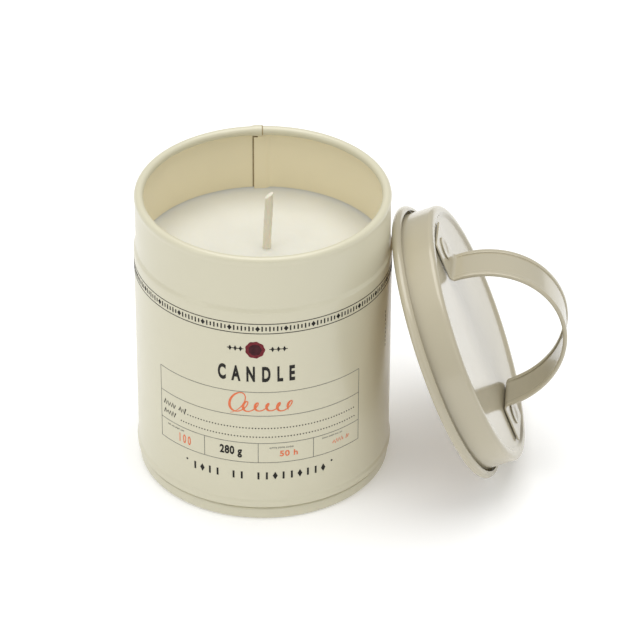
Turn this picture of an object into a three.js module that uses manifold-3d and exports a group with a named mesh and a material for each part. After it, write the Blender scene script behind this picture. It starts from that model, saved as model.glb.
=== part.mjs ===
// Candle tin: a seamed tinplate can filled with wax, and its slip-on lid leaning against the wall.
// Millimetres, +Z up. The lid leans on the +X side, the lock side seam is at the back (+Y).
import * as THREE from 'three';
import { mergeVertices } from 'three/addons/utils/BufferGeometryUtils.js';
import Module from 'manifold-3d';

const wasm = await Module();
wasm.setup();

// ---- driving dimensions ----------------------------------------------------------------------

const SHEET = 0.3;                 // tinplate with its paint
const GAP = 0.3;                   // clearance left between pieces that touch
const ROUND = 40;                  // facets round the tin and the lid
const SMALL_ROUND = 20;            // facets round the small pieces

const tin = {
  height: 94,
  wallRadius: 38.9,                // outside of the printed wall
  neckRadius: 38.35,               // outside of the neck that the lid slips over
  beadRadius: 39.1,                // stop bead under the neck
  beadHeight: 74.5,
  beadFlat: 0.3,                   // half the bead's flat crest
  beadSlope: 0.8,                  // height of each slope beside it
  rimRadius: 38.5,                 // outside of the inward curl
  curlRadius: 1.4,                 // half the curl's thickness
  flareRadius: 39.3,               // small flare just above the base seam
  flareHeight: 5.7,
  flareFlat: 0.4,
  flareSlope: 1.2,
};

const seam = {
  radius: 38.55,                   // outside of the double seam, tucked in under the flare
  pitch: 0.55,                     // from one folded layer to the next
  top: 3.5,                        // where the seam's upper fold starts
  footRound: 1.1,                  // rounding under the outer edge
  panelHeight: 3.3,                // middle of the base plate, held clear of the floor
  stepInner: 27,                   // shallow stiffening step pressed round the base plate
  stepOuter: 33,
  stepDrop: 0.7,
};

const lock = { left: -4.55, right: -0.4, thickness: 0.55, bottom: 7.5, top: 89.5 };

const wax = { radius: 38.3, bottom: 3.8, level: 70.8, meniscus: 0.7 };

const sticker = { radius: 9, thickness: 0.6 };
const sustainer = { radius: 10, ferruleRadius: 1.85, ferruleTop: 11 };
const wick = { radius: 1.25, surface: [1.0, 3.7], tip: [1.7, 4.0, 90.4] };

const lid = {
  skirtRadius: 40.8,
  depth: 12.2,
  curlRadius: 1.45,
  outerRadius: 43.6,               // outside of the outward curl at the open end
  cornerRadius: 1.35,
  rimInner: 38.5,                  // inner edge of the raised rim's flat top
  panelRadius: 37.3,
  panelDrop: 0.9,                  // how far the panel lies below the raised rim
  lean: THREE.MathUtils.degToRad(22.4),
  handleTurn: THREE.MathUtils.degToRad(-7),
};

const handle = {
  width: 17,
  thickness: 0.6,
  halfSpan: 22.7,                  // arch centreline, at the feet
  height: 27.4,                    // arch centreline above the panel
  bendRadius: 1.5,
  tabEnd: 35.6,
  hemWidth: 2.2,
  hemThickness: 1.3,
  rivetAt: 30,
};

const rivet = { shank: 1.5, head: 3.5, tail: 2.6 };

// ---- materials --------------------------------------------------------------------------------

const paint = (color, roughness, metalness = 0) =>
  new THREE.MeshStandardMaterial({ color, roughness, metalness });

const materials = {
  creamPaint: paint(0xded9c8, 0.4),
  stonePaint: paint(0xc9c1ac, 0.25),
  compound: paint(0x8d8a84, 0.8),
  wax: paint(0xe8e3d4, 0.55),
  cotton: paint(0xefe6cb, 0.8),
  plainTinplate: paint(0xb9b9b6, 0.35, 1),
  sticker: paint(0xf1f0ec, 0.7),
};

// ---- helpers ----------------------------------------------------------------------------------

const point = (x, y) => new THREE.Vector2(x, y);

// Points along a circle's arc, angles in degrees, both ends included.
function arc(x, y, radius, fromDeg, toDeg, steps) {
  return Array.from({ length: steps + 1 }, (_, i) => {
    const angle = THREE.MathUtils.degToRad(fromDeg + ((toDeg - fromDeg) * i) / steps);
    return point(x + radius * Math.cos(angle), y + radius * Math.sin(angle));
  });
}

// The outline of a sheet of the given thickness whose middle follows the path.
function sheetOutline(path, thickness) {
  const side = (sign) =>
    path.map((here, i) => {
      const before = path[Math.max(i - 1, 0)];
      const after = path[Math.min(i + 1, path.length - 1)];
      const along = after.clone().sub(before).normalize();
      const segment = (i > 0 ? here.clone().sub(before) : after.clone().sub(here)).normalize();
      const stretch = 1 / Math.max(along.dot(segment), 0.7);
      const offset = (sign * stretch * thickness) / 2;
      const moved = point(here.x - along.y * offset, here.y + along.x * offset);
      return here.x === 0 ? point(0, moved.y) : moved;
    });
  return [...side(1), ...side(-1).reverse()];
}

// A closed outline in (radius, height) turned about the Z axis.
function turned(outline, facets = ROUND) {
  const ordered = THREE.ShapeUtils.isClockWise(outline) ? [...outline].reverse() : outline;
  const geometry = new THREE.LatheGeometry([...ordered, ordered[0]], facets);
  return geometry.rotateX(Math.PI / 2);
}

// One closed body from a geometry, wound so that it faces out.
function solidOf(geometry) {
  geometry.deleteAttribute('normal');
  geometry.deleteAttribute('uv');
  const merged = mergeVertices(geometry, 1e-5);
  const corners = [];
  for (let i = 0; i < merged.index.count; i += 3) {
    const [a, b, c] = [merged.index.getX(i), merged.index.getX(i + 1), merged.index.getX(i + 2)];
    if (a !== b && b !== c && c !== a) corners.push(a, b, c);
  }
  const bodyFrom = (order) =>
    new wasm.Manifold(
      new wasm.Mesh({
        numProp: 3,
        vertProperties: new Float32Array(merged.attributes.position.array),
        triVerts: new Uint32Array(order),
      }),
    );
  const body = bodyFrom(corners);
  return body.volume() < 0 ? bodyFrom(corners.reverse()) : body;
}

function geometryOf(solid) {
  const mesh = solid.getMesh();
  const geometry = new THREE.BufferGeometry();
  geometry.setAttribute('position', new THREE.BufferAttribute(mesh.vertProperties, 3));
  geometry.setIndex(new THREE.BufferAttribute(mesh.triVerts, 1));
  geometry.computeVertexNormals();
  return geometry;
}

function piece(name, solid, material) {
  const mesh = new THREE.Mesh(geometryOf(solid), material);
  mesh.name = name;
  return mesh;
}

const turnedSolid = (outline, facets) => solidOf(turned(outline, facets));

// A block between two corners.
function block(low, high) {
  const size = high.map((value, i) => value - low[i]);
  const geometry = new THREE.BoxGeometry(...size);
  geometry.translate(...low.map((value, i) => value + size[i] / 2));
  return solidOf(geometry);
}

// An upright round bar.
function bar(x, y, radius, low, high) {
  const geometry = new THREE.CylinderGeometry(radius, radius, high - low, SMALL_ROUND);
  geometry.rotateX(Math.PI / 2).translate(x, y, (low + high) / 2);
  return solidOf(geometry);
}

// ---- can body ---------------------------------------------------------------------------------

const layer = (count) => seam.radius - SHEET / 2 - count * seam.pitch;   // double seam, outside in
const wallMiddle = tin.wallRadius - SHEET / 2;
const neckMiddle = tin.neckRadius - SHEET / 2;

function wallPath() {
  const half = SHEET / 2;
  const curlCentre = tin.rimRadius - tin.curlRadius;
  const curlHeight = tin.height - tin.curlRadius;
  const curlBlend = 1.8;
  const beadEnd = tin.beadFlat + tin.beadSlope;
  const hookHeight = 1.55;
  const hookRise = 1.4;
  return [
    ...arc(curlCentre, curlHeight, tin.curlRadius - half, 280, 0, 10),
    point(neckMiddle, curlHeight - curlBlend),
    point(neckMiddle, tin.beadHeight + beadEnd),
    point(tin.beadRadius - half, tin.beadHeight + tin.beadFlat),
    point(tin.beadRadius - half, tin.beadHeight - tin.beadFlat),
    point(wallMiddle, tin.beadHeight - beadEnd),
    point(wallMiddle, tin.flareHeight + tin.flareFlat + tin.flareSlope),
    point(tin.flareRadius - half, tin.flareHeight + tin.flareFlat),
    point(tin.flareRadius - half, tin.flareHeight - tin.flareFlat / 2),
    point(layer(1) + 0.1, tin.flareHeight - 0.75),
    point(layer(2) + 0.1, tin.flareHeight - 1),
    point(layer(3), tin.flareHeight - 1.8),
    ...arc(layer(2), hookHeight, seam.pitch, 180, 360, 5),
    point(layer(1), hookHeight + hookRise),
  ];
}

// The folded strip of the lock side seam, which stands proud on the inside of the wall.
function lockStrip() {
  const inner = (radius) => radius - SHEET / 2 - lock.thickness;
  const strip = turnedSolid([
    point(wallMiddle, lock.bottom),
    point(wallMiddle, tin.beadHeight - tin.beadFlat - tin.beadSlope),
    point(neckMiddle, tin.beadHeight + tin.beadFlat + tin.beadSlope),
    point(neckMiddle, lock.top),
    point(inner(neckMiddle), lock.top),
    point(inner(neckMiddle), tin.beadHeight),
    point(inner(wallMiddle), tin.beadHeight - 2.5),
    point(inner(wallMiddle), lock.bottom),
  ]);
  return strip.intersect(block([lock.left, 0, 0], [lock.right, tin.wallRadius + 1, tin.height]));
}

function canBody() {
  const wall = turnedSolid(sheetOutline(wallPath(), SHEET));
  return piece('can_body', wall.add(lockStrip()), materials.creamPaint);
}

// ---- base -------------------------------------------------------------------------------------

function baseEnd() {
  const footCentre = layer(0) - seam.footRound;
  const wellRound = 0.6;           // where the plate turns down into its wall
  const heelRound = 0.5;           // where that wall turns out along the floor
  const hookEnd = 1.75;
  const path = [
    point(0, seam.panelHeight),
    point(seam.stepInner, seam.panelHeight),
    point(seam.stepInner + seam.stepDrop, seam.panelHeight - seam.stepDrop),
    point(seam.stepOuter - seam.stepDrop, seam.panelHeight - seam.stepDrop),
    point(seam.stepOuter, seam.panelHeight),
    ...arc(layer(4) - wellRound, seam.panelHeight - wellRound, wellRound, 90, 0, 2),
    ...arc(layer(4) + heelRound, SHEET / 2 + heelRound, heelRound, 180, 270, 2),
    ...arc(footCentre, SHEET / 2 + seam.footRound, seam.footRound, 270, 360, 3),
    ...arc(layer(1), seam.top, seam.pitch, 0, 180, 4),
    point(layer(2), hookEnd),
  ];
  return piece('base_end', turnedSolid(sheetOutline(path, SHEET)), materials.creamPaint);
}

function seamCompound() {
  const [inner, outer] = [layer(3) + 0.1, layer(2) + 0.35];
  const [low, high] = [0.42, 0.7];
  const outline = [point(inner, low), point(outer, low), point(outer, high), point(inner, high)];
  return piece('seam_compound', turnedSolid(outline), materials.compound);
}

// ---- wick and what holds it -------------------------------------------------------------------

const stickerBottom = seam.panelHeight + SHEET / 2 + GAP;
const sustainerBottom = stickerBottom + sticker.thickness + GAP;

// The wick rises straight out of the ferrule, then leans to where it leaves the wax.
function wickCurve(top) {
  return new THREE.CatmullRomCurve3([
    new THREE.Vector3(0, 0, sustainerBottom + SHEET + GAP),
    new THREE.Vector3(0, 0, sustainer.ferruleTop + 1),
    new THREE.Vector3(wick.surface[0], wick.surface[1], wax.level),
    new THREE.Vector3(wick.tip[0], wick.tip[1], top),
  ]);
}

function wickRod(radius, top) {
  const section = new THREE.Shape().absarc(0, 0, radius, 0, 2 * Math.PI);
  const geometry = new THREE.ExtrudeGeometry(section, {
    extrudePath: wickCurve(top),
    steps: 24,
    curveSegments: 6,
    bevelEnabled: false,
  });
  return solidOf(geometry);
}

function wickSticker() {
  const disc = bar(0, 0, sticker.radius, stickerBottom, stickerBottom + sticker.thickness);
  return piece('wick_sticker', disc, materials.sticker);
}

function wickSustainer() {
  const bottom = sustainerBottom;
  const bore = sustainer.ferruleRadius - SHEET;
  const outline = [
    point(0, bottom),
    point(sustainer.radius, bottom),
    point(sustainer.radius, bottom + SHEET),
    point(sustainer.ferruleRadius, bottom + SHEET),
    point(sustainer.ferruleRadius, sustainer.ferruleTop),
    point(bore, sustainer.ferruleTop),
    point(bore, bottom + SHEET),
    point(0, bottom + SHEET),
  ];
  return piece('wick_sustainer', turnedSolid(outline, SMALL_ROUND), materials.plainTinplate);
}

// ---- wax --------------------------------------------------------------------------------------

function waxFill() {
  const discTop = sustainerBottom + SHEET + GAP;
  const outline = [
    point(0, discTop),
    point(sustainer.radius + GAP, discTop),
    point(sustainer.radius + GAP, wax.bottom),
    point(layer(3) - 0.7, wax.bottom),
    point(layer(3) + 0.1, wax.bottom + 1.3),
    point(wax.radius, wax.bottom + 2.3),
    point(wax.radius, wax.level + wax.meniscus),
    point(wax.radius - 0.7, wax.level + 0.25),
    point(wax.radius - 2, wax.level),
    point(0, wax.level),
  ];
  const seamRoom = block(
    [lock.left - GAP, wax.radius - 3, lock.bottom - GAP],
    [lock.right + GAP, wax.radius + 3, tin.height],
  );
  const keptIn = turnedSolid([
    point(0, 0),
    point(wallMiddle - SHEET / 2 - lock.thickness - GAP, 0),
    point(wallMiddle - SHEET / 2 - lock.thickness - GAP, tin.height),
    point(0, tin.height),
  ]);
  const ferruleRoom = bar(0, 0, sustainer.ferruleRadius + GAP, 0, sustainer.ferruleTop + GAP);
  const wickRoom = wickRod(wick.radius + GAP, wick.tip[2]);
  const solid = turnedSolid(outline)
    .subtract(seamRoom.subtract(keptIn))
    .subtract(ferruleRoom)
    .subtract(wickRoom);
  return piece('wax_fill', solid, materials.wax);
}

// ---- lid, in its own frame: Z along its axis from the open end towards the panel ---------------

const panelMiddle = lid.depth - SHEET / 2 - lid.panelDrop;
const panelTop = panelMiddle + SHEET / 2;

function lidPath() {
  const skirt = lid.skirtRadius - SHEET / 2;
  const top = lid.depth - SHEET / 2;
  const curlCentre = lid.outerRadius - lid.curlRadius;
  return [
    ...arc(curlCentre, lid.curlRadius, lid.curlRadius - SHEET / 2, 105, -165, 10),
    point(skirt, lid.curlRadius + 1.4),
    ...arc(skirt - lid.cornerRadius, top - lid.cornerRadius, lid.cornerRadius, 0, 90, 4),
    point(lid.rimInner, top),
    point(lid.panelRadius + 0.5, panelMiddle + 0.25),
    point(lid.panelRadius, panelMiddle),
    point(0, panelMiddle),
  ];
}

function lidShell() {
  const at = point(handle.rivetAt, 0).rotateAround(point(0, 0), lid.handleTurn);
  const hole = (sign) =>
    bar(sign * at.x, sign * at.y, rivet.shank + GAP, panelMiddle - 2, panelMiddle + 2);
  const shell = turnedSolid(sheetOutline(lidPath(), SHEET)).subtract(hole(1)).subtract(hole(-1));
  return piece('lid_shell', shell, materials.stonePaint);
}

// ---- handle: X along its span, Y across the strap, Z away from the panel ------------------------

const tabMiddle = GAP + handle.thickness / 2;

function handlePath() {
  const base = tabMiddle + handle.bendRadius;
  const bendCentre = handle.halfSpan + handle.bendRadius;
  const steps = 24;
  const arch = Array.from({ length: steps - 1 }, (_, i) => {
    const angle = (Math.PI * (i + 1)) / steps;
    return point(handle.halfSpan * Math.cos(angle), base + (handle.height - base) * Math.sin(angle));
  });
  return [
    point(handle.tabEnd, tabMiddle),
    ...arc(bendCentre, base, handle.bendRadius, 270, 180, 4),
    ...arch,
    ...arc(-bendCentre, base, handle.bendRadius, 0, -90, 4),
    point(-handle.tabEnd, tabMiddle),
  ];
}

// A stretch of the strap between two places across its width.
function strapStretch(thickness, from, to) {
  const outline = new THREE.Shape(sheetOutline(handlePath(), thickness));
  const geometry = new THREE.ExtrudeGeometry(outline, { depth: to - from, bevelEnabled: false });
  geometry.rotateX(Math.PI / 2).translate(0, to, 0);
  return solidOf(geometry);
}

function handleStrap() {
  const half = handle.width / 2;
  const tabsEnd = 3;               // the hems run out above the foot tabs
  const aboveTabs = block(
    [-handle.halfSpan - 1, -half - 1, tabsEnd],
    [handle.halfSpan + 1, half + 1, handle.height + 2],
  );
  const hem = (from, to) => strapStretch(handle.hemThickness, from, to).intersect(aboveTabs);
  const hole = (sign) => bar(sign * handle.rivetAt, 0, rivet.shank + GAP, -1, 3);
  const strap = strapStretch(handle.thickness, -half, half)
    .add(hem(-half, -half + handle.hemWidth))
    .add(hem(half - handle.hemWidth, half))
    .subtract(hole(1))
    .subtract(hole(-1));
  return piece('handle_strap', strap, materials.stonePaint);
}

// A semi-tubular rivet with a dished head, standing on Z with the panel's top at 0.
function handleRivet(name, at) {
  const tailTop = -SHEET - GAP;
  const headBottom = GAP + handle.thickness + GAP;
  const dish = 0.25;               // thickness at the head's hollow middle
  const outline = [
    point(0, tailTop - 0.5),
    point(rivet.tail, tailTop - 0.5),
    point(rivet.tail, tailTop),
    point(rivet.shank, tailTop),
    point(rivet.shank, headBottom),
    point(rivet.head, headBottom),
    point(rivet.head, headBottom + 0.35),
    point(rivet.head - 0.5, headBottom + 0.5),
    point(rivet.head - 1.1, headBottom + dish),
    point(0, headBottom + dish),
  ];
  const mesh = piece(name, turnedSolid(outline, SMALL_ROUND), materials.stonePaint);
  mesh.position.x = at;
  return mesh;
}

function lidAssembly() {
  const handleGroup = new THREE.Group();
  handleGroup.add(
    handleStrap(),
    handleRivet('upper_rivet', -handle.rivetAt),
    handleRivet('lower_rivet', handle.rivetAt),
  );
  handleGroup.position.z = panelTop;
  handleGroup.rotation.z = lid.handleTurn;
  const group = new THREE.Group();
  group.add(lidShell(), handleGroup);
  return group;
}

// The lid leans with its curl's foot on the floor and its curl's top against the neck.
function leanLid(group) {
  const ring = lid.outerRadius - lid.curlRadius;
  const reach = ring * Math.sin(lid.lean) + lid.curlRadius * (1 - Math.cos(lid.lean));
  group.rotation.y = Math.PI / 2 - lid.lean;
  group.position.x = tin.neckRadius + GAP + reach;
  group.position.z = lid.curlRadius * (1 - Math.sin(lid.lean)) + ring * Math.cos(lid.lean);
  return group;
}

// ---- assembly: stood on the floor, centred under its own bounding box ---------------------------

const assembly = new THREE.Group();
assembly.add(
  canBody(),
  baseEnd(),
  seamCompound(),
  waxFill(),
  piece('wick', wickRod(wick.radius, wick.tip[2]), materials.cotton),
  wickSustainer(),
  wickSticker(),
  leanLid(lidAssembly()),
);
assembly.updateMatrixWorld(true);
const bounds = new THREE.Box3().setFromObject(assembly, true);
assembly.position.x = -(bounds.min.x + bounds.max.x) / 2;

export default assembly;
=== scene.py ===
"""Looks of the candle tin and its leaning lid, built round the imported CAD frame.

Shapes are drawn in millimetres and placed in metres. The tin's own axis is local Z, and the lid's
own frame has Z along its axis, from the open end towards the panel with the handle.
"""

import math
import random

import bmesh
import bpy
from mathutils import Matrix, Vector, noise


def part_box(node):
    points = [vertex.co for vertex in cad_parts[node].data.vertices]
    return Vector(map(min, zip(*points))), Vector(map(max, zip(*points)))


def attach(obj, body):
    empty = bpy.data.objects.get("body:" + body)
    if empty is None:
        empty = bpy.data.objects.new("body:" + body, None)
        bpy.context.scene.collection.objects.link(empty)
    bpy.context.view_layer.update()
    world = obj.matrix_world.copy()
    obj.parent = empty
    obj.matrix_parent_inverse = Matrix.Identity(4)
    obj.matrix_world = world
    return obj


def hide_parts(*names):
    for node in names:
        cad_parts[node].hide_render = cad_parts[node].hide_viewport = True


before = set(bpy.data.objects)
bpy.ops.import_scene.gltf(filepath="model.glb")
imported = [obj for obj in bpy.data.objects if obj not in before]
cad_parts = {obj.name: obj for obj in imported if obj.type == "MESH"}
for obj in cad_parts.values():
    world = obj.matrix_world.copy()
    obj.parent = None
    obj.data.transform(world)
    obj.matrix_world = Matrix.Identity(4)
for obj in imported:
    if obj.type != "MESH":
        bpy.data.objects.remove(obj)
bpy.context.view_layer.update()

# ---- driving dimensions, in millimetres: the CAD's, or close to them where that looks better ------

MM = 0.001
SHEET = 0.3                        # tinplate with its paint
GAP = 0.3                          # clearance between pieces
FACETS = 192                       # columns round the tin and the lid
RIVET_FACETS = 64
HOLE_FACETS = 48
WICK_FACETS = 32
SHARP = math.radians(38)           # folds steeper than this keep a crisp edge

HEIGHT = 93.99
WALL = 38.9                        # outside radius of the printed wall
NECK = 38.35
BEAD = 38.93
BEAD_HEIGHT = 74.5
BEAD_RISE = 2.2                    # from the bead's height up to the plain neck
BEAD_FALL = 2.0                    # from the bead's height down to the plain wall
RIM = 38.5
RIM_STEP = 1.2                     # height of the step between the rim and the neck
CURL = 1.4
FLARE = 39.28
FLARE_HEIGHT = 5.7
FLARE_RISE = 2.0                   # from the flare's height up to the plain wall
FLARE_ROUND = 0.5

SEAM = 38.55                       # double seam, tucked in under the flare
SEAM_PITCH = 0.55                  # from the middle of one folded layer to the next
SEAM_TOP = 3.5
WALL_HOOK = 1.55                   # middle height of the wall's fold in the seam
PLATE_HOOK = 1.75                  # where the base plate's fold in the seam ends
FOOT_ROUND = 1.1
PLATE_HEIGHT = 3.3
PLATE_ROUND = 0.6                  # where the plate turns down
PLATE_FOOT_ROUND = 0.5             # where it turns out again
STEP_INNER = 27.0
STEP_OUTER = 33.0
STEP_DROP = 0.7

LOCK_LEFT = -4.55                  # lock side seam inside the back wall
LOCK_RIGHT = -0.4
LOCK_PROUD = 0.4
LOCK_TOP = 89.5
SLOPE_START = LOCK_RIGHT - 0.8     # its right side slopes back to the wall between these
SLOPE_END = LOCK_RIGHT + 1.2
FOLD_EDGE = 0.05                   # width of its steep left edge
FOLD_DEPTH = 0.12                  # fine line beside that edge, inside and outside
CREASE_SHADE_WIDTH = 0.42                # how wide the painted shade down its left fold is
CREASE_MIDDLE = LOCK_LEFT - CREASE_SHADE_WIDTH / 2
NOTCH_RIGHT = -3.3                 # the fold stops short of the curl up to here
NOTCH_EDGE = 0.03
NOTCH_DEPTH = 0.1
NOTCH_STEP = 0.3                   # height over which the fold ends there
LAP_START = LOCK_LEFT - 1.5        # the curl swells over the seam's extra layers between these
LAP_FULL = LOCK_LEFT + 0.5
LAP_EDGE = -1.6                    # where those layers end
LAP_RISE = 0.3
STEP_SHADE_WIDTH = 0.4                   # width of the painted shade just before the step at their end
COLUMN_CLEAR = 0.4                 # even columns keep this far from the lock seam's own
LINING_BOTTOM = FLARE_HEIGHT + 1.9  # the inside of the wall is drawn straight, in the cream with painted bounce light, between these
LINING_TOP = HEIGHT - 2 * CURL - LAP_RISE + 0.2

WAX = 38.04
WAX_BOTTOM = 3.8
WAX_LEVEL = 70.8
WAX_WELL = 10.3                    # room under it for the wick's metal foot and sticker
MENISCUS = 0.7
CLIMB = 2.6                        # how far from its edge the wax begins to climb

WICK = 1.25
WICK_FOOT = 5.2
WICK_SURFACE = (1.0, 3.7)          # where it leaves the wax
WICK_TIP = (1.7, 4.0, 90.4)
WICK_FLATNESS = 0.9
STRANDS = 3
BRAID_TURN = 1.9                   # radians of braid for each millimetre
FERRULE_TOP = 11.0

SKIRT = 40.8
DEPTH = 12.2
LID_CURL = 1.45
LID_OUTER = 43.6
CORNER = 1.35
RIM_INNER = 38.5
PANEL = 37.0
PANEL_DROP = 0.9
LID_SHADE_EDGE = 1.0                 # how far in from the open end the painted shade inside the lid starts
LEAN = math.radians(22.4)
HANDLE_TURN = math.radians(-7)

STRAP_WIDTH = 17.0
STRAP = 0.6
HALF_SPAN = 22.7
ARCH = 27.4
BEND = 1.5
TAB_END = 35.6
TAB_ROUND = 1.2
HEM_WIDTH = 2.2
HEM = 1.3
HEM_START = 0.6                    # share of the hems' fullness just above the feet
RIVET_AT = 30.0
RIVET_SHANK = 1.5
RIVET_HEAD = 3.5
RIVET_TAIL = 2.6
HEAD_ROUND = 0.2
DISH_WIDTH = 1.6
DISH_DEPTH = 0.28
TAIL_ROUND = 0.25

INK = 0.05                         # how far the print stands off the wall
INK_TOP = WALL + INK
INK_LOW = WALL - 0.06              # its underside, sunk in the wall
LINE_STEP = 1.2                    # longest straight stretch of a printed line

# ---- places ----------------------------------------------------------------------------------------

tin_low, tin_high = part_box("can_body")
TIN_X = (tin_low.x + tin_high.x) / 2 / MM
PANEL_MIDDLE = DEPTH - SHEET / 2 - PANEL_DROP
PANEL_TOP = PANEL_MIDDLE + SHEET / 2

curl_ring = LID_OUTER - LID_CURL
lid_reach = curl_ring * math.sin(LEAN) + LID_CURL * (1 - math.cos(LEAN))
lid_height = LID_CURL * (1 - math.sin(LEAN)) + curl_ring * math.cos(LEAN)

TO_METRES = Matrix.Scale(MM, 4)
TIN_PLACE = TO_METRES @ Matrix.Translation((TIN_X, 0, 0))
LID_PLACE = (
    TO_METRES
    @ Matrix.Translation((TIN_X + NECK + GAP + lid_reach, 0, lid_height))
    @ Matrix.Rotation(math.pi / 2 - LEAN, 4, "Y")
)
HANDLE_PLACE = LID_PLACE @ Matrix.Translation((0, 0, PANEL_TOP)) @ Matrix.Rotation(HANDLE_TURN, 4, "Z")

# ---- outlines --------------------------------------------------------------------------------------

SAME_POINT = 1e-4                  # points closer than this are one
LEAST_COSINE = 0.7                 # keeps a sheet's corners from being stretched further


def arc(x, y, radius, start, end, steps):
    """Points along a circle's arc, angles in degrees, both ends included."""
    angles = [math.radians(start + (end - start) * i / steps) for i in range(steps + 1)]
    return [(x + radius * math.cos(a), y + radius * math.sin(a)) for a in angles]


def circle(x, y, radius, sides):
    """Points round a whole circle."""
    return arc(x, y, radius, 0, 360 - 360 / sides, sides - 1)


def smooth_share(value, start, end):
    """How far a value has come from start to end, 0 to 1, easing in and out."""
    t = min(max((value - start) / (end - start), 0), 1)
    return t * t * (3 - 2 * t)


def eased(start, end, steps=6):
    """A soft step: the first coordinate eases while the second moves evenly, both ends included."""
    points = []
    for i in range(steps + 1):
        t = i / steps
        share = smooth_share(t, 0, 1)
        points.append((start[0] + (end[0] - start[0]) * share, start[1] + (end[1] - start[1]) * t))
    return points


def without_repeats(path):
    """The path without points that fall on the one before."""
    kept = [path[0]]
    for here in path[1:]:
        if math.dist(here, kept[-1]) > SAME_POINT:
            kept.append(here)
    return kept


def sheet_outline(path, thickness):
    """The closed outline of a sheet whose middle follows the path. Ends on the axis stay there."""
    path = without_repeats(path)
    sides = ([], [])
    for i, here in enumerate(path):
        before = Vector(path[max(i - 1, 0)])
        after = Vector(path[min(i + 1, len(path) - 1)])
        along = (after - before).normalized()
        segment = Vector(here) - before if i else after - Vector(here)
        stretch = 1 / max(along.dot(segment.normalized()), LEAST_COSINE)
        for side, sign in zip(sides, (1, -1)):
            offset = sign * stretch * thickness / 2
            x = here[0] - along.y * offset if here[0] else 0.0
            side.append((x, here[1] + along.x * offset))
    return sides[0] + sides[1][::-1]


# ---- meshes ----------------------------------------------------------------------------------------


def finished(name, mesh_data, place, *materials):
    """A closed mesh from bmesh data, moved to its place, facing out, smooth but for its sharp edges."""
    bmesh.ops.remove_doubles(mesh_data, verts=mesh_data.verts, dist=1e-5)
    bmesh.ops.transform(mesh_data, matrix=place, verts=mesh_data.verts)
    bmesh.ops.recalc_face_normals(mesh_data, faces=mesh_data.faces)
    mesh = bpy.data.meshes.new(name)
    mesh_data.to_mesh(mesh)
    mesh_data.free()
    mesh.shade_smooth()
    mesh.set_sharp_from_angle(angle=SHARP)
    for material in materials:
        mesh.materials.append(material)
    piece = bpy.data.objects.new(name, mesh)
    bpy.context.scene.collection.objects.link(piece)
    return piece


def add_loft(mesh_data, rings, around=False, caps=False):
    """Joins closed rings of points into a skin, around a whole turn or capped at both ends."""
    rows = [[mesh_data.verts.new(p) for p in ring] for ring in rings]
    count = len(rings[0])
    pairs = list(zip(rows, rows[1:]))
    if around:
        pairs.append((rows[-1], rows[0]))
    for here, there in pairs:
        for i in range(count):
            j = (i + 1) % count
            mesh_data.faces.new((here[i], here[j], there[j], there[i]))
    if caps:
        mesh_data.faces.new(rows[0][::-1])
        mesh_data.faces.new(rows[-1])


def turned(name, outline, place, *materials, facets=FACETS):
    """A closed outline in (radius, height) turned about Z."""
    rings = []
    for k in range(facets):
        angle = 2 * math.pi * k / facets
        rings.append([(r * math.cos(angle), r * math.sin(angle), z) for r, z in outline])
    mesh_data = bmesh.new()
    add_loft(mesh_data, rings, around=True)
    return finished(name, mesh_data, place, *materials)


def cut_holes(piece, centres, radius, place):
    """Drills round holes along the place's Z, at the given (x, y) centres."""
    mesh_data = bmesh.new()
    reach = 4
    for x, y in centres:
        ring = circle(x, y, radius, HOLE_FACETS)
        ends = [[(px, py, z) for px, py in ring] for z in (-reach, reach)]
        add_loft(mesh_data, ends, caps=True)
    cutter = finished(piece.name + "_cutter", mesh_data, place, piece.data.materials[0])
    modifier = piece.modifiers.new("holes", "BOOLEAN")
    modifier.operation = "DIFFERENCE"
    modifier.solver = "EXACT"
    modifier.object = cutter
    evaluated = piece.evaluated_get(bpy.context.evaluated_depsgraph_get())
    drilled = bpy.data.meshes.new_from_object(evaluated)
    piece.modifiers.clear()
    drilled.set_sharp_from_angle(angle=SHARP)
    piece.data = drilled
    bpy.data.objects.remove(cutter)


# ---- materials -------------------------------------------------------------------------------------


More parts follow.
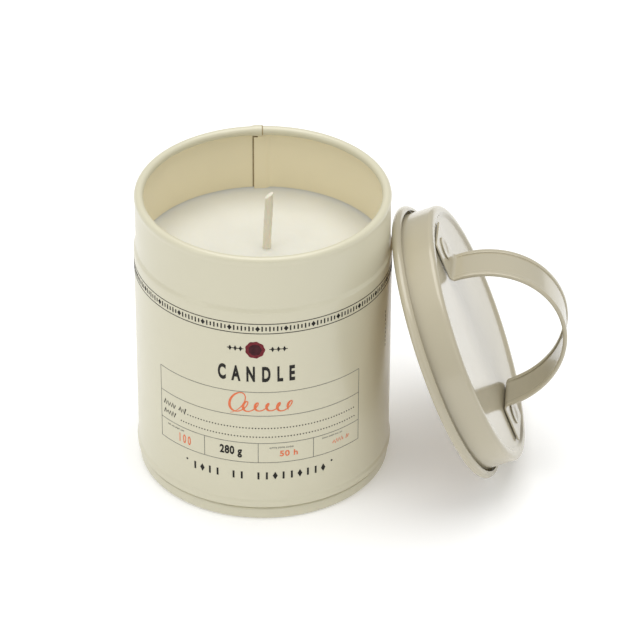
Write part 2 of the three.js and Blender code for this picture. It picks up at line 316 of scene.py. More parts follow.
class Nodes:
    """A material's nodes, in object space."""

    usual_noise = (0.3, 0.7)       # most of a noise's values lie between these

    def __init__(self, name):
        self.material = bpy.data.materials.new(name)
        self.material.use_nodes = True
        self.tree = self.material.node_tree
        self.shader = self.tree.nodes["Principled BSDF"]
        self.place = self.tree.nodes.new("ShaderNodeTexCoord").outputs["Object"]

    def set(self, **values):
        for socket, value in values.items():
            self.shader.inputs[socket.replace("_", " ")].default_value = value

    def noise(self, scale, detail, stretch=None):
        node = self.tree.nodes.new("ShaderNodeTexNoise")
        node.inputs["Scale"].default_value = scale
        node.inputs["Detail"].default_value = detail
        source = self.place
        if stretch:
            mapping = self.tree.nodes.new("ShaderNodeMapping")
            mapping.inputs["Scale"].default_value = stretch
            self.tree.links.new(source, mapping.inputs["Vector"])
            source = mapping.outputs["Vector"]
        self.tree.links.new(source, node.inputs["Vector"])
        return node.outputs["Fac"]

    def colours(self, value, first, second):
        ramp = self.tree.nodes.new("ShaderNodeValToRGB")
        stops = ramp.color_ramp.elements
        for stop, position, colour in zip(stops, self.usual_noise, (first, second)):
            stop.position = position
            stop.color = (*colour, 1)
        self.tree.links.new(value, ramp.inputs["Fac"])
        self.tree.links.new(ramp.outputs["Color"], self.shader.inputs["Base Color"])

    def roughness(self, value, low, high):
        node = self.tree.nodes.new("ShaderNodeMapRange")
        node.inputs["From Min"].default_value = self.usual_noise[0]
        node.inputs["From Max"].default_value = self.usual_noise[1]
        node.inputs["To Min"].default_value = low
        node.inputs["To Max"].default_value = high
        self.tree.links.new(value, node.inputs["Value"])
        self.tree.links.new(node.outputs["Result"], self.shader.inputs["Roughness"])

    def bump(self, value, distance):
        node = self.tree.nodes.new("ShaderNodeBump")
        node.inputs["Strength"].default_value = 1.0
        node.inputs["Distance"].default_value = distance
        self.tree.links.new(value, node.inputs["Height"])
        self.tree.links.new(node.outputs["Normal"], self.shader.inputs["Normal"])


def enamel(name, light, dark, rough, coat, coat_rough, peel):
    """Stoved enamel on tinplate: faint mottling, soft smudges and orange peel."""
    nodes = Nodes(name)
    nodes.colours(nodes.noise(45, 4), dark, light)
    nodes.roughness(nodes.noise(140, 6), *rough)
    nodes.bump(nodes.noise(420, 2), peel)
    nodes.set(Coat_Weight=coat, Coat_Roughness=coat_rough)
    return nodes.material


def ink_material(name, light, dark):
    nodes = Nodes(name)
    nodes.colours(nodes.noise(900, 4), dark, light)
    nodes.roughness(nodes.noise(300, 3), 0.5, 0.65)
    nodes.bump(nodes.noise(2500, 2), 0.00001)
    nodes.set(Specular_IOR_Level=0.2)
    return nodes.material


def wax_material():
    nodes = Nodes("soy_wax")
    nodes.colours(nodes.noise(60, 5), (0.70, 0.69, 0.62), (0.73, 0.72, 0.65))
    nodes.roughness(nodes.noise(220, 5), 0.42, 0.6)
    nodes.bump(nodes.noise(350, 6), 0.00006)
    nodes.set(Subsurface_Weight=0.35, Subsurface_Scale=0.004, Subsurface_Radius=(1.0, 0.85, 0.6))
    return nodes.material


def cotton_material():
    nodes = Nodes("waxed_cotton")
    nodes.colours(nodes.noise(500, 5, (1, 1, 0.3)), (0.80, 0.78, 0.66), (0.86, 0.84, 0.73))
    nodes.roughness(nodes.noise(900, 4), 0.5, 0.75)
    nodes.bump(nodes.noise(1600, 4, (1, 1, 0.35)), 0.00015)
    nodes.set(Subsurface_Weight=0.2, Subsurface_Scale=0.002)
    return nodes.material


def tinplate_material():
    nodes = Nodes("bare_tinplate")
    nodes.colours(nodes.noise(120, 5), (0.46, 0.46, 0.45), (0.60, 0.60, 0.59))
    nodes.roughness(nodes.noise(260, 5), 0.28, 0.45)
    nodes.bump(nodes.noise(1200, 3), 0.00002)
    nodes.set(Metallic=1.0)
    return nodes.material


def dull_material(name, light, dark, scale):
    nodes = Nodes(name)
    nodes.colours(nodes.noise(scale, 5), dark, light)
    nodes.roughness(nodes.noise(scale * 2, 4), 0.65, 0.85)
    nodes.bump(nodes.noise(scale * 4, 3), 0.00004)
    return nodes.material


CREAM = enamel(
    "cream_enamel",
    light=(0.680, 0.645, 0.485),
    dark=(0.674, 0.638, 0.478),
    rough=(0.30, 0.34),
    coat=0.25,
    coat_rough=0.15,
    peel=0.000001,
)
# painted bounce light: a brighter, warmer copy of the cream enamel for the inside of the wall
PAINTED_BOUNCE_CREAM = enamel(
    "cream_painted_bounce_light",
    light=(0.910, 0.825, 0.590),
    dark=(0.900, 0.812, 0.578),
    rough=(0.34, 0.40),
    coat=0.1,
    coat_rough=0.2,
    peel=0.000002,
)
STONE = enamel(
    "stone_enamel",
    light=(0.500, 0.452, 0.330),
    dark=(0.492, 0.444, 0.323),
    rough=(0.20, 0.25),
    coat=0.45,
    coat_rough=0.03,
    peel=0.000001,
)
# painted shade: a darker, browner copy of the stone enamel for the inside of the lid
LID_CAVITY_SHADE = enamel(
    "stone_painted_cavity_shade",
    light=(0.500, 0.370, 0.180),
    dark=(0.480, 0.350, 0.168),
    rough=(0.26, 0.34),
    coat=0.4,
    coat_rough=0.1,
    peel=0.000002,
)
# painted shade: a dark brown strip down the lock seam's left fold, in the notch under the curl and just
# before the step where the curl's lap ends
CREASE_SHADE = dull_material("painted_crease_shade", (0.420, 0.335, 0.190), (0.350, 0.275, 0.155), 600)
SOY = wax_material()
COTTON = cotton_material()
TINPLATE = tinplate_material()
COMPOUND = dull_material("seam_compound", (0.30, 0.29, 0.26), (0.22, 0.21, 0.19), 400)
STICKER = dull_material("paper_sticker", (0.88, 0.87, 0.84), (0.80, 0.79, 0.75), 700)
BLACK_INK = ink_material("black_ink", (0.024, 0.022, 0.018), (0.014, 0.013, 0.011))
GREY_INK = ink_material("grey_ink", (0.230, 0.225, 0.195), (0.170, 0.165, 0.140))
ORANGE_INK = ink_material("orange_ink", (0.830, 0.215, 0.090), (0.740, 0.165, 0.065))
RED_INK = ink_material("red_ink", (0.210, 0.022, 0.032), (0.130, 0.012, 0.018))
DARK_RED_INK = ink_material("dark_red_ink", (0.075, 0.012, 0.017), (0.040, 0.006, 0.009))

# ---- the can's wall --------------------------------------------------------------------------------

PAINTED, BOUNCE_PAINTED, SHADED_CREASE = range(3)  # the wall's materials, in the order it holds them: outside enamel, inside cream with painted bounce light, painted crease shade


def seam_layer(count):
    """Radius of a layer of the double seam, counted from outside."""
    return SEAM - SHEET / 2 - count * SEAM_PITCH


def wall_path():
    """The middle of the wall's sheet, from the end of the rim's curl down to the fold in the seam."""
    half = SHEET / 2
    curl_height = HEIGHT - CURL - LAP_RISE
    return [
        *arc(RIM - CURL, curl_height, CURL - half, 280, 0, 30),
        *eased((RIM - half, curl_height), (NECK - half, curl_height - RIM_STEP)),
        (NECK - half, LOCK_TOP + NOTCH_STEP),
        (NECK - half, LOCK_TOP),
        *eased((NECK - half, BEAD_HEIGHT + BEAD_RISE), (BEAD - half, BEAD_HEIGHT + 0.3), 10),
        (WALL - half, BEAD_HEIGHT - BEAD_FALL),
        *eased((WALL - half, FLARE_HEIGHT + FLARE_RISE), (FLARE - half, FLARE_HEIGHT + 0.7)),
        *arc(FLARE - half - FLARE_ROUND, FLARE_HEIGHT - 0.3, FLARE_ROUND, 20, -90, 8),
        (seam_layer(1) + 0.1, FLARE_HEIGHT - 0.85),
        (seam_layer(3) + 0.1, FLARE_HEIGHT - 1.1),
        *arc(seam_layer(2), WALL_HOOK, SEAM_PITCH, 180, 360, 10),
        (seam_layer(1), SEAM_TOP - 0.5),
    ]


def at_crease(across):
    """Whether a column across the back runs down the middle of the fold's crease, a fine groove with
    painted shade in it.
    """
    return abs(across - CREASE_MIDDLE) < FOLD_EDGE


def lock_proud(across, height):
    """How far the lock seam stands in from the wall, at a place across the back."""
    if height > LOCK_TOP + NOTCH_STEP / 2 and LOCK_LEFT < across < NOTCH_RIGHT:
        return -NOTCH_DEPTH
    if at_crease(across):
        return -FOLD_DEPTH
    if across < LOCK_LEFT + FOLD_EDGE / 2:
        return 0.0
    return LOCK_PROUD * (1 - smooth_share(across, SLOPE_START, SLOPE_END))


def lap_rise(across):
    """How far the curl stands out over the seam's extra layers."""
    if across > LAP_EDGE - 0.01:
        return 0.0
    return LAP_RISE * smooth_share(across, LAP_START, LAP_FULL)


def back_columns():
    """Places across the back wall that the lock seam's edges need, from left to right."""
    return sorted([
        LAP_START,
        LOCK_LEFT - 1.0,
        LOCK_LEFT - CREASE_SHADE_WIDTH,
        CREASE_MIDDLE,
        LOCK_LEFT,
        LOCK_LEFT + FOLD_EDGE,
        LAP_FULL,
        NOTCH_RIGHT - NOTCH_EDGE,
        NOTCH_RIGHT + NOTCH_EDGE,
        LAP_EDGE - STEP_SHADE_WIDTH - 0.1,
        LAP_EDGE - STEP_SHADE_WIDTH,
        LAP_EDGE,
        *[SLOPE_START + (SLOPE_END - SLOPE_START) * i / 10 for i in range(11)],
    ])


def wall_angles():
    """Even columns round the wall, and at the back those of the lock seam."""
    back = back_columns()
    angles = [across / WALL % (2 * math.pi) for across in back]
    for k in range(FACETS):
        angle = 2 * math.pi * k / FACETS
        across = math.remainder(angle, 2 * math.pi) * WALL
        if not back[0] - COLUMN_CLEAR < across < back[-1] + COLUMN_CLEAR:
            angles.append(angle)
    return sorted(angles)


def wall_material(spot, gets_bounce_paint):
    """Which of the wall's materials the face at a spot has: painted shade in the crease, the notch and
    before the lap's step, and the cream with painted bounce light on the inside.
    """
    across = math.atan2(spot.x, spot.y) * WALL
    # painted shade just before the step where the curl's lap ends
    if spot.z > HEIGHT - 2 * CURL and LAP_EDGE - STEP_SHADE_WIDTH < across < LAP_EDGE:
        return SHADED_CREASE
    if not gets_bounce_paint:
        return PAINTED
    # painted shade down the lock seam's left fold and in the notch under the curl
    in_crease_shade = LOCK_LEFT - CREASE_SHADE_WIDTH < across < LOCK_LEFT + FOLD_EDGE
    in_notch_shade = spot.z > LOCK_TOP and LOCK_LEFT < across < NOTCH_RIGHT + NOTCH_EDGE
    return SHADED_CREASE if in_crease_shade or in_notch_shade else BOUNCE_PAINTED


def can_wall():
    """The wall turned from its outline, with the lock seam and the lap of the curl worked into it."""
    outline = sheet_outline(wall_path(), SHEET)
    curl_centre = Vector((RIM - CURL, HEIGHT - CURL - LAP_RISE))
    lining = {
        i for i, (r, z) in enumerate(outline)
        if i > len(outline) / 2 and LINING_BOTTOM < z < LINING_TOP
    }
    rings = []
    for angle in wall_angles():
        across = math.remainder(angle, 2 * math.pi) * WALL
        rise = lap_rise(across)
        ring = []
        for i, (r, z) in enumerate(outline):
            if z > curl_centre.y - CURL - 0.2 and rise:
                away = Vector((r, z)) - curl_centre
                r, z = Vector((r, z)) + away.normalized() * rise
            if i in lining:
                r = min(r, NECK - SHEET) - lock_proud(across, z)
            elif LINING_BOTTOM < z < LOCK_TOP and at_crease(across):
                r -= FOLD_DEPTH
            ring.append((r * math.sin(angle), r * math.cos(angle), z))
        rings.append(ring)
    mesh_data = bmesh.new()
    add_loft(mesh_data, rings, around=True)
    # the inside's straight band gets the cream with painted bounce light; the crease, the notch and the
    # lap's step get the painted shade
    for number, face in enumerate(mesh_data.faces):
        face.material_index = wall_material(face.calc_center_median(), number % len(outline) in lining)
    return finished("can_wall", mesh_data, TIN_PLACE, CREAM, PAINTED_BOUNCE_CREAM, CREASE_SHADE)


# ---- the base --------------------------------------------------------------------------------------


def base_seam():
    """The base plate with its one step, folded into the double seam round the foot."""
    foot = seam_layer(0) - FOOT_ROUND
    path = [
        (0, PLATE_HEIGHT),
        *[(STEP_INNER + along, PLATE_HEIGHT) for along in (-0.3, 0, 0.1)],
        (STEP_INNER + STEP_DROP, PLATE_HEIGHT - STEP_DROP),
        (STEP_OUTER - STEP_DROP, PLATE_HEIGHT - STEP_DROP),
        (STEP_OUTER, PLATE_HEIGHT),
        *arc(seam_layer(4) - PLATE_ROUND, PLATE_HEIGHT - PLATE_ROUND, PLATE_ROUND, 90, 0, 6),
        *arc(seam_layer(4) + PLATE_FOOT_ROUND, SHEET / 2 + PLATE_FOOT_ROUND, PLATE_FOOT_ROUND, 180, 270, 6),
        *arc(foot, SHEET / 2 + FOOT_ROUND, FOOT_ROUND, 270, 360, 8),
        *arc(seam_layer(1), SEAM_TOP, SEAM_PITCH, 0, 180, 10),
        (seam_layer(2), PLATE_HOOK),
    ]
    return turned("base_seam", sheet_outline(path, SHEET), TIN_PLACE, CREAM)


# ---- the candle ------------------------------------------------------------------------------------


def wax_unevenness(x, y, from_wall):
    """How far the set wax stands above its level, at a place on its top."""
    free = smooth_share(from_wall, 0.2, 4)
    broad = 0.10 * noise.noise((x / 16, y / 16, 3.1))
    fine = 0.03 * noise.noise((x / 5, y / 5, 7.7))
    from_wick = (Vector((x, y)) - Vector(WICK_SURFACE)).length
    return free * (broad + fine) + 0.45 * math.exp(-from_wick / 1.6)


def candle_wax():
    """Poured wax: almost level, a touch uneven, climbing a little at the wall and the wick."""
    side = [
        (0, WICK_FOOT),
        (WAX_WELL, WICK_FOOT),
        (WAX_WELL, WAX_BOTTOM),
        (seam_layer(3) - 0.7, WAX_BOTTOM),
        (seam_layer(3) + 0.1, WAX_BOTTOM + 1.3),
        (WAX, WAX_BOTTOM + 2.3),
        (WAX, WAX_LEVEL - 1.5),
    ]
    climb = []
    for i in range(13):
        share = i / 12
        climb.append((WAX - CLIMB * share ** 1.4, WAX_LEVEL + MENISCUS * (1 - share) ** 2.6))
    level = [((WAX - CLIMB) * (1 - (i + 1) / 22), WAX_LEVEL) for i in range(22)]
    outline = side + climb + level
    rings = []
    for k in range(FACETS):
        angle = 2 * math.pi * k / FACETS
        ring = []
        for r, z in outline:
            x, y = r * math.cos(angle), r * math.sin(angle)
            if z > WAX_LEVEL - 1:
                z += wax_unevenness(x, y, WAX - r)
            ring.append((x, y, z))
        rings.append(ring)
    mesh_data = bmesh.new()
    add_loft(mesh_data, rings, around=True)
    return finished("candle_wax", mesh_data, TIN_PLACE, SOY)


def wick_centre(t):
    """The wick's middle, from its foot in the ferrule at t = 0 to its cut tip at t = 1."""
    surface_x, surface_y = WICK_SURFACE
    tip_x, tip_y, tip_z = WICK_TIP
    z = WICK_FOOT + t * (tip_z - WICK_FOOT)
    lean = smooth_share(z, FERRULE_TOP, WAX_LEVEL)
    above = smooth_share(z, WAX_LEVEL, tip_z)
    x = surface_x * lean + (tip_x - surface_x) * above
    y = surface_y * lean + (tip_y - surface_y) * above
    return Vector((x, y, z))


def wick_cord():
    """A flat-braided cord stiff with wax: three strands show as low ridges, the tip is cut aslant."""
    steps = 150
    rings = []
    for i in range(steps + 1):
        t = i / steps
        centre = wick_centre(t)
        cut = smooth_share(t, 0.9, 1.0)
        ring = []
        for k in range(WICK_FACETS):
            angle = 2 * math.pi * k / WICK_FACETS
            twist = STRANDS * angle + centre.z * BRAID_TURN
            radius = WICK * (1.0 + 0.03 * math.cos(twist) + 0.02 * noise.noise((angle, centre.z / 2, 0)))
            x = radius * math.cos(angle)
            y = radius * math.sin(angle) * WICK_FLATNESS
            slope = 0.8 * x * cut
            ring.append((centre.x + x, centre.y + y, centre.z + slope - cut))
        rings.append(ring)
    top = rings[-1]
    middle = Vector((sum(p[0] for p in top), sum(p[1] for p in top), sum(p[2] for p in top))) / len(top)
    for share in (0.82, 0.4):
        rings.append([tuple(middle + (Vector(p) - middle) * share + Vector((0, 0, 0.1))) for p in top])
    mesh_data = bmesh.new()
    add_loft(mesh_data, rings, caps=True)
    return finished("wick_cord", mesh_data, TIN_PLACE, COTTON)


# ---- the lid ---------------------------------------------------------------------------------------


def lid_cover():
    """The pressed lid: outward curl, skirt, rim and sunk panel, drilled for the two rivets."""
    skirt = SKIRT - SHEET / 2
    top = DEPTH - SHEET / 2
    panel_slope = [(r, z) for z, r in eased((top, RIM_INNER), (PANEL_MIDDLE, PANEL), 12)]
    path = [
        *arc(LID_OUTER - LID_CURL, LID_CURL, LID_CURL - SHEET / 2, 105, -165, 30),
        *eased((skirt + 0.05, LID_CURL + 0.35), (skirt, LID_CURL + 1.6), 5),
        *arc(skirt - CORNER, top - CORNER, CORNER, 0, 90, 12),
        *panel_slope,
        (0, PANEL_MIDDLE),
    ]
    outline = sheet_outline(path, SHEET)
    cover = turned("lid_cover", outline, LID_PLACE, STONE, LID_CAVITY_SHADE)
    to_lid = LID_PLACE.inverted()
    # the inside of the lid, in from its open end, gets the painted shade
    for face in cover.data.polygons:
        spot = to_lid @ face.center
        inside = math.hypot(spot.x, spot.y) < SKIRT - SHEET / 2
        face.material_index = int(inside and LID_SHADE_EDGE < spot.z < PANEL_MIDDLE)
    at = Vector((RIVET_AT, 0)).to_3d()
    at.rotate(Matrix.Rotation(HANDLE_TURN, 3, "Z"))
    holes = LID_PLACE @ Matrix.Translation((0, 0, PANEL_MIDDLE))
    cut_holes(cover, [(at.x, at.y), (-at.x, -at.y)], RIVET_SHANK + GAP, holes)
    return cover


def strap_stations():
    """Along the strap: (x, z) of its middle, the half width and the hem's half thickness."""
    web = STRAP / 2
    swell = (HEM - STRAP) / 2
    middle = GAP + web
    foot = middle + BEND
    half = STRAP_WIDTH / 2
    stations = []
    for i in range(13):
        turn = math.radians(90 * i / 12)
        x = TAB_END - TAB_ROUND * (1 - math.cos(turn))
        stations.append((x, middle, half - TAB_ROUND * (1 - math.sin(turn)), web))
    for i in range(1, 8):
        x = TAB_END - TAB_ROUND + (HALF_SPAN + BEND - TAB_END + TAB_ROUND) * i / 8
        stations.append((x, middle, half, web))
    for x, z in arc(HALF_SPAN + BEND, foot, BEND, 270, 180, 10):
        share = smooth_share(z, middle + 0.2, foot)
        stations.append((x, z, half, web + swell * share * HEM_START))
    for i in range(1, 49):
        angle = math.pi / 2 * i / 48
        x = HALF_SPAN * math.cos(angle)
        z = foot + (ARCH - foot) * math.sin(angle)
        share = HEM_START + (1 - HEM_START) * smooth_share(z, foot, foot + 3)
        stations.append((x, z, half, web + swell * share))
    mirrored = [(-x, z, width, hem) for x, z, width, hem in stations[-2::-1]]
    return stations + mirrored


def strap_section(half, hem):
    """The strap across its width: a flat web between two rolled hems, each with a crease beside it."""
    web = STRAP / 2
    crease = half - HEM_WIDTH
    proud = (hem - web) / (HEM / 2 - web)
    quarter = [
        (0.0, web),
        (crease - 1.2, web),
        (crease - 0.35, web - 0.02 * proud),
        (crease - 0.12, web - 0.10 * proud),
        (crease - 0.02, web - 0.10 * proud),
        (crease + 0.06, web + (hem - web) * 0.55),
        (crease + 0.28, web + (hem - web) * 0.9),
        (crease + 0.7, hem),
    ]
    quarter += arc(half - hem, 0, hem, 90, 0, 6)
    right = quarter + [(x, -y) for x, y in quarter[-2::-1]]
    left = [(-x, y) for x, y in right[::-1]]
    return right + left[1:-1]


def handle_band():
    """The strap handle, its section swept over the arch from foot tab to foot tab."""
    stations = strap_stations()
    rings = []
    for i, (x, z, half, hem) in enumerate(stations):
        before = stations[max(i - 1, 0)]
        after = stations[min(i + 1, len(stations) - 1)]
        along = Vector((after[0] - before[0], after[1] - before[1])).normalized()
        away = Vector((along.y, -along.x))
        ring = [(x + away.x * v, u, z + away.y * v) for u, v in strap_section(half, hem)]
        rings.append(ring)
    mesh_data = bmesh.new()
    add_loft(mesh_data, rings, caps=True)
    band = finished("handle_band", mesh_data, HANDLE_PLACE, STONE)
    cut_holes(band, [(RIVET_AT, 0), (-RIVET_AT, 0)], RIVET_SHANK + GAP, HANDLE_PLACE)
    return band


def rivet(name, at):
    """A semi-tubular rivet with a dished head, clinched under the panel."""
    tail = -SHEET - GAP
    head = GAP + STRAP + 0.03
    dish = []
    for i in range(11):
        fall = DISH_DEPTH * smooth_share(i, 0, 10)
        dish.append((RIVET_HEAD - 0.5 - DISH_WIDTH * i / 10, head + 0.4 - fall))
    outline = [
        (0, tail - 0.35),
        (0.9, tail - 0.4),
        *arc(RIVET_TAIL - TAIL_ROUND, tail - TAIL_ROUND, TAIL_ROUND, 270, 450, 8),
        (RIVET_SHANK + 0.1, tail),
        (RIVET_SHANK, tail + 0.1),
        (RIVET_SHANK, head - 0.05),
        (RIVET_SHANK + 0.1, head),
        *arc(RIVET_HEAD - HEAD_ROUND, head + HEAD_ROUND, HEAD_ROUND, 270, 450, 10),
        *dish,
        (0, head + 0.1),
    ]
    place = HANDLE_PLACE @ Matrix.Translation((at, 0, 0))
    return turned(name, outline, place, STONE, facets=RIVET_FACETS)


# ---- the print, wrapped on the wall: (arc, height), arc from the front towards the lid -------------


def on_wall(across, height, radius):
    """A place of the print, laid round the wall at a radius."""
    angle = across / WALL
    return (radius * math.sin(angle), -radius * math.cos(angle), height)


def add_stroke(mesh_data, path, widths):
    """A stroke of ink along a path, with a width at each of its points."""
    rings = []
    for i, here in enumerate(path):
        before = Vector(path[max(i - 1, 0)])
        after = Vector(path[min(i + 1, len(path) - 1)])
        along = (after - before).normalized()
        side = Vector((-along.y, along.x)) * widths[i] / 2
        left = Vector(here) + side
        right = Vector(here) - side
        corners = ((right, INK_LOW), (left, INK_LOW), (left, INK_TOP), (right, INK_TOP))
        rings.append([on_wall(*corner, radius) for corner, radius in corners])
    add_loft(mesh_data, rings, caps=True)


def add_line(mesh_data, start, end, width):
    count = max(1, math.ceil(abs(end[0] - start[0]) / LINE_STEP))
    path = [Vector(start).lerp(Vector(end), i / count) for i in range(count + 1)]
    add_stroke(mesh_data, [tuple(p) for p in path], [width] * (count + 1))


def add_shape(mesh_data, outline):
    """A small filled shape of ink."""
    low = [on_wall(x, z, INK_LOW) for x, z in outline]
    high = [on_wall(x, z, INK_TOP) for x, z in outline]
    add_loft(mesh_data, [low, high], caps=True)


def add_lozenge(mesh_data, x, z, width, height):
    add_shape(mesh_data, [(x + width / 2, z), (x, z + height / 2), (x - width / 2, z), (x, z - height / 2)])


def add_dot(mesh_data, x, z, radius, sides=10):
    add_shape(mesh_data, circle(x, z, radius, sides))


def add_scribble(mesh_data, start, end, height, width, seed):
    """Small print that can't be read: runs of uneven strokes with gaps between them."""
    rng = random.Random(seed)
    total = math.dist(start, end)
    along = Vector((end[0] - start[0], end[1] - start[1])) / total
    across = Vector((-along.y, along.x))
    at = 0.0
    while at < total - height * 0.5:
        run = min(height * rng.uniform(1.6, 3.2), total - at)
        count = max(3, round(run / (height * 0.26)))
        path = []
        for i in range(count + 1):
            reach = (0.5 if i % 2 else -0.5) * rng.uniform(0.45, 1.0) * height
            here = Vector(start) + along * (at + run * i / count) + across * reach
            path.append(tuple(here))
        add_stroke(mesh_data, path, [width] * len(path))
        at += run + height * 0.7


def add_text(mesh_data, text, left, right, bottom, height, bolder, spacing):
    """Plain lettering from Blender's own face, stretched to its place on the wall."""
    curve = bpy.data.curves.new("lettering", "FONT")
    curve.body = text
    curve.offset = bolder
    curve.space_character = spacing
    curve.resolution_u = 4
    holder = bpy.data.objects.new("lettering", curve)
    bpy.context.scene.collection.objects.link(holder)
    flat = bpy.data.meshes.new_from_object(holder.evaluated_get(bpy.context.evaluated_depsgraph_get()))
    bpy.data.objects.remove(holder)
    bpy.data.curves.remove(curve)
    letters = bmesh.new()
    letters.from_mesh(flat)
    bpy.data.meshes.remove(flat)
    bmesh.ops.remove_doubles(letters, verts=letters.verts, dist=1e-5)
    xs = [v.co.x for v in letters.verts]
    ys = [v.co.y for v in letters.verts]
    wide = (right - left) / (max(xs) - min(xs))
    tall = height / (max(ys) - min(ys))
    corners = {}
    for vert in letters.verts:
        x = left + (vert.co.x - min(xs)) * wide
        z = bottom + (vert.co.y - min(ys)) * tall
        low = mesh_data.verts.new(on_wall(x, z, INK_LOW))
        high = mesh_data.verts.new(on_wall(x, z, INK_TOP))
        corners[vert.index] = (low, high)
    for face in letters.faces:
        if face.normal.z < 0:
            face.normal_flip()
        mesh_data.faces.new([corners[v.index][1] for v in face.verts])
        mesh_data.faces.new([corners[v.index][0] for v in reversed(face.verts)])
    for edge in letters.edges:
        if len(edge.link_faces) == 1:
            loop = edge.link_loops[0]
            a, b = loop.vert.index, loop.link_loop_next.vert.index
            mesh_data.faces.new((corners[b][1], corners[a][1], corners[a][0], corners[b][0]))
    letters.free()


def band_print():
    """Two rules round the wall with a plain ornament of lozenges and bars between them."""
    mesh_data = bmesh.new()
    plain_end = 7
    reach = math.pi * WALL - plain_end
    row = 69.82
    for z in (71.5, 68.15):
        add_line(mesh_data, (-reach, z), (reach, z), 0.24)
    period = 8.4
    count = int(reach / period)
    for k in range(-count, count + 1):
        middle = k * period
        add_lozenge(mesh_data, middle, row, 1.4, 1.9)
        for i in range(6):
            x = middle + 1.35 + i * 1.14
            if x > reach:
                break
            half = 0.84 - 0.2 * (i % 2)
            add_line(mesh_data, (x, row - half), (x, row + half), 0.42)
    return mesh_data


def foot_print():
    """The spaced row of plain marks under the form."""
    mesh_data = bmesh.new()
    add_dot(mesh_data, -23.1, 17.8, 0.35)
    add_dot(mesh_data, 23.2, 18.2, 0.35)
    start, pitch = -20.2, 2.53
    row, half = 16.6, 1.3
    word_gaps = (4, 7)
    for k in range(17):
        x = start + k * pitch
        if k in word_gaps:
            continue
        if k % 3 == 1:
            add_lozenge(mesh_data, x, row, 1.5, 2.8)
        else:
            add_line(mesh_data, (x, row - half), (x, row + half), 0.6)
    return mesh_data


def black_print():
    """The lettering, the small marks beside the seal, and the form's two rows with their dots."""
    mesh_data = bmesh.new()
    add_text(mesh_data, "CANDLE", -12.1, 11.1, bottom=50.9, height=5.6, bolder=0.04, spacing=2.05)
    add_text(mesh_data, "280 g", -11.8, -4.9, bottom=23.0, height=4.0, bolder=0.035, spacing=1.1)
    marks = 62.6
    for side, near, far in ((-1, 4.2, 9.2), (1, 3.4, 8.9)):
        add_line(mesh_data, (side * near, marks), (side * far, marks), 0.22)
        for i in range(3):
            x = side * (near + (far - near) * (0.18 + 0.32 * i))
            add_lozenge(mesh_data, x, marks, 1.0, 1.9)
    edge = 32.4
    dot_pitch = 0.95
    for row, (z, word_end) in enumerate(((34.5, -23.4), (31.3, -26.0))):
        add_scribble(mesh_data, (-edge, z + 0.3), (word_end, z + 0.3), 2.1, 0.4, 11 + row)
        for k in range(int((edge - word_end) / dot_pitch)):
            add_dot(mesh_data, word_end + 0.8 + dot_pitch * k, z - 0.4, 0.22, 8)
    return mesh_data


def grey_print():
    """The form's thin rules and its captions, and the column of small print on the right."""
    mesh_data = bmesh.new()
    rule = 0.18
    left, right = -33.8, 33.7
    top, cells, bottom = 47.2, 28.6, 21.5
    for z in (top, 38.6, cells, bottom):
        add_line(mesh_data, (left, z), (right, z), rule)
    for x in (left, right):
        add_line(mesh_data, (x, bottom), (x, top), rule)
    for x in (-16.8, 0, 17.0):
        add_line(mesh_data, (x, bottom), (x, cells), rule)
    add_scribble(mesh_data, (-30.8, 27.3), (-23.8, 27.3), 0.6, 0.16, 21)
    add_scribble(mesh_data, (3.4, 26.9), (11.4, 26.9), 0.7, 0.18, 22)
    add_scribble(mesh_data, (20.0, 27.4), (27.0, 27.4), 0.6, 0.16, 23)
    column, dash_pitch = 49.9, 1.5
    for k in range(9):
        low = 46.0 + dash_pitch * k
        add_line(mesh_data, (column, low), (column, low + 0.9), 0.3)
    return mesh_data


def flourish():
    """A looping pen line, one big loop and small ones after it: its points and its widths."""
    path, widths = [], []
    steps = 260
    line = 41.9
    slant = 0.4
    for i in range(steps + 1):
        t = i / steps
        turn = -0.35 * math.pi + t * 11.6 * math.pi
        big = 1 - smooth_share(t, 0.06, 0.16)
        size = 2.3 * big + 1.75 + 0.35 * math.sin(6 * t + 1)
        x = -8.8 + 19.4 * t + (0.66 + 0.14 * big) * size * math.cos(turn)
        z = line + 0.95 * size * math.sin(turn) + 0.9 * big
        path.append((x + slant * (z - 42), z))
        down = max(0.0, -math.cos(turn))
        taper = smooth_share(t, 0, 0.03) * (1 - smooth_share(t, 0.97, 1.0))
        widths.append((0.34 + 0.42 * down) * (0.3 + 0.7 * taper))
    return path, widths


def orange_print():
    """The pen flourish and the form's coloured entries."""
    mesh_data = bmesh.new()
    add_stroke(mesh_data, *flourish())
    add_text(mesh_data, "100", -26.0, -21.7, bottom=23.0, height=3.2, bolder=0.015, spacing=1.5)
    add_text(mesh_data, "50 h", 6.5, 12.0, bottom=23.6, height=2.1, bolder=0.02, spacing=1.1)
    add_scribble(mesh_data, (23.6, 24.9), (29.6, 24.9), 1.7, 0.3, 41)
    return mesh_data


def seal_print(radius, lobes, depth, lift):
    """A plain uneven round, with a ring inside its outline so that it follows the wall."""
    mesh_data = bmesh.new()
    sides = 72
    x, z = -0.8, 62.4
    outline = []
    for k in range(sides):
        angle = 2 * math.pi * k / sides
        r = radius * (1 + depth * math.cos(lobes * angle) + 0.4 * depth * math.sin(3 * angle + 1))
        outline.append((x + r * math.cos(angle), z + r * math.sin(angle)))
    centre = Vector((x, z))
    inner = [tuple(centre.lerp(Vector(p), 0.5)) for p in outline]
    rings = [
        [on_wall(*p, INK_LOW) for p in inner],
        [on_wall(*p, INK_LOW) for p in outline],
        [on_wall(*p, WALL + lift) for p in outline],
        [on_wall(*p, WALL + lift) for p in inner],
    ]
    add_loft(mesh_data, rings, caps=True)
    return mesh_data


# ---- everything in place ---------------------------------------------------------------------------


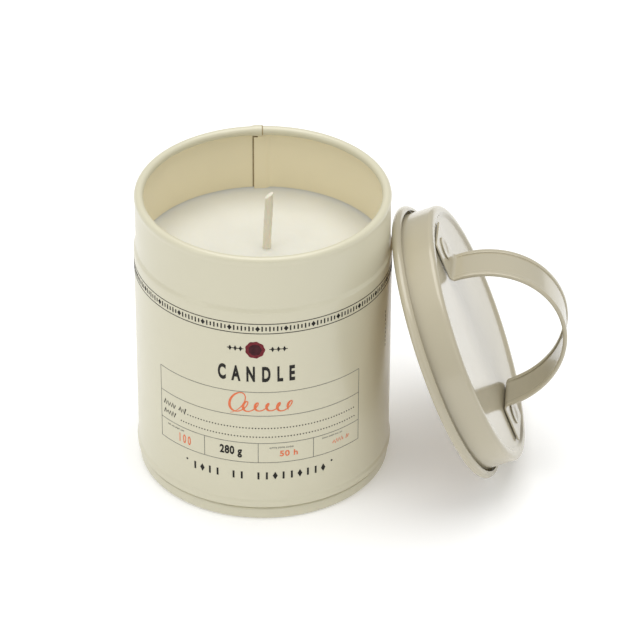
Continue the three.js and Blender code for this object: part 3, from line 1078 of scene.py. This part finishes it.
def settle(piece, body, slot, *nodes):
    """Fixes a piece to its body and hides the CAD nodes it stands in for. The paint slot is not used."""
    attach(piece, body)
    if nodes:
        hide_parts(*nodes)


settle(can_wall(), "tin", "cream_paint", "can_body")
settle(base_seam(), "tin", "cream_paint", "base_end")
settle(candle_wax(), "tin", "wax", "wax_fill")
settle(wick_cord(), "tin", "cotton", "wick")
settle(lid_cover(), "lid", "stone_paint", "lid_shell")
settle(handle_band(), "lid", "stone_paint", "handle_strap")
settle(rivet("rivet_upper", -RIVET_AT), "lid", "stone_paint", "upper_rivet")
settle(rivet("rivet_lower", RIVET_AT), "lid", "stone_paint", "lower_rivet")

prints = {
    "print_band": (band_print(), BLACK_INK),
    "print_foot": (foot_print(), BLACK_INK),
    "print_words": (black_print(), BLACK_INK),
    "print_form": (grey_print(), GREY_INK),
    "print_flourish": (orange_print(), ORANGE_INK),
    "print_seal": (seal_print(2.9, 9, 0.035, INK), RED_INK),
    "print_seal_centre": (seal_print(1.9, 7, 0.03, INK + 0.03), DARK_RED_INK),
}
for name, (data, ink) in prints.items():
    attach(finished(name, data, TIN_PLACE, ink), "tin")

hidden = {"seam_compound": COMPOUND, "wick_sustainer": TINPLATE, "wick_sticker": STICKER}
for node, material in hidden.items():
    for material_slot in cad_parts[node].material_slots:
        material_slot.material = material

# ---- stage -----------------------------------------------------------------------------------------


def stage_floor():
    bpy.ops.mesh.primitive_plane_add(size=6)
    floor = bpy.context.object
    floor.name = "floor"
    nodes = Nodes("pale_floor")
    nodes.set(Base_Color=(0.86, 0.86, 0.86, 1), Roughness=0.85)
    nodes.set(Emission_Color=(1, 1, 1, 1), Emission_Strength=0.24)
    floor.data.materials.append(nodes.material)


def soft_light(name, place, aim, size, power, colour):
    data = bpy.data.lights.new(name, "AREA")
    data.shape = "RECTANGLE"
    data.size, data.size_y = size
    data.energy = power
    data.color = colour
    light = bpy.data.objects.new(name, data)
    light.location = place
    light.rotation_euler = (Vector(aim) - Vector(place)).to_track_quat("-Z", "Y").to_euler()
    bpy.context.scene.collection.objects.link(light)


def sky():
    world = bpy.data.worlds.new("studio")
    world.use_nodes = True
    world.node_tree.nodes["Background"].inputs["Color"].default_value = (0.97, 0.985, 1.0, 1)
    world.node_tree.nodes["Background"].inputs["Strength"].default_value = 0.40
    bpy.context.scene.world = world


def camera():
    """A long lens from above, turned a little off the lean's plane."""
    pitch = math.radians(33.69)
    heading = math.radians(1.5)
    roll = math.radians(0.339)
    aim = Vector((-0.010125, 0.0004, 0.0494))
    distance = 1.098
    data = bpy.data.cameras.new("camera")
    data.sensor_width = 36
    data.lens = 203.45
    data.clip_end = 20
    view = Matrix.Rotation(heading, 4, "Z") @ Matrix.Rotation(math.pi / 2 - pitch, 4, "X")
    view = view @ Matrix.Rotation(roll, 4, "Z")
    holder = bpy.data.objects.new("camera", data)
    holder.matrix_world = Matrix.Translation(aim) @ view @ Matrix.Translation((0, 0, distance))
    bpy.context.scene.collection.objects.link(holder)
    bpy.context.scene.camera = holder


stage_floor()
sky()
soft_light("top", (0, 0.1, 2.2), (0, 0, 0), size=(2.2, 2.2), power=44, colour=(1.0, 0.995, 0.98))
soft_light("left", (-1.3, -0.9, 0.7), (0, 0, 0.05), size=(0.6, 1.3), power=3.5, colour=(1.0, 1.0, 1.0))
soft_light("right", (1.1, -1.3, 0.8), (0, 0, 0.05), size=(0.6, 1.3), power=2.0, colour=(1.0, 0.99, 0.96))
camera()
bpy.context.scene.view_settings.view_transform = "Standard"
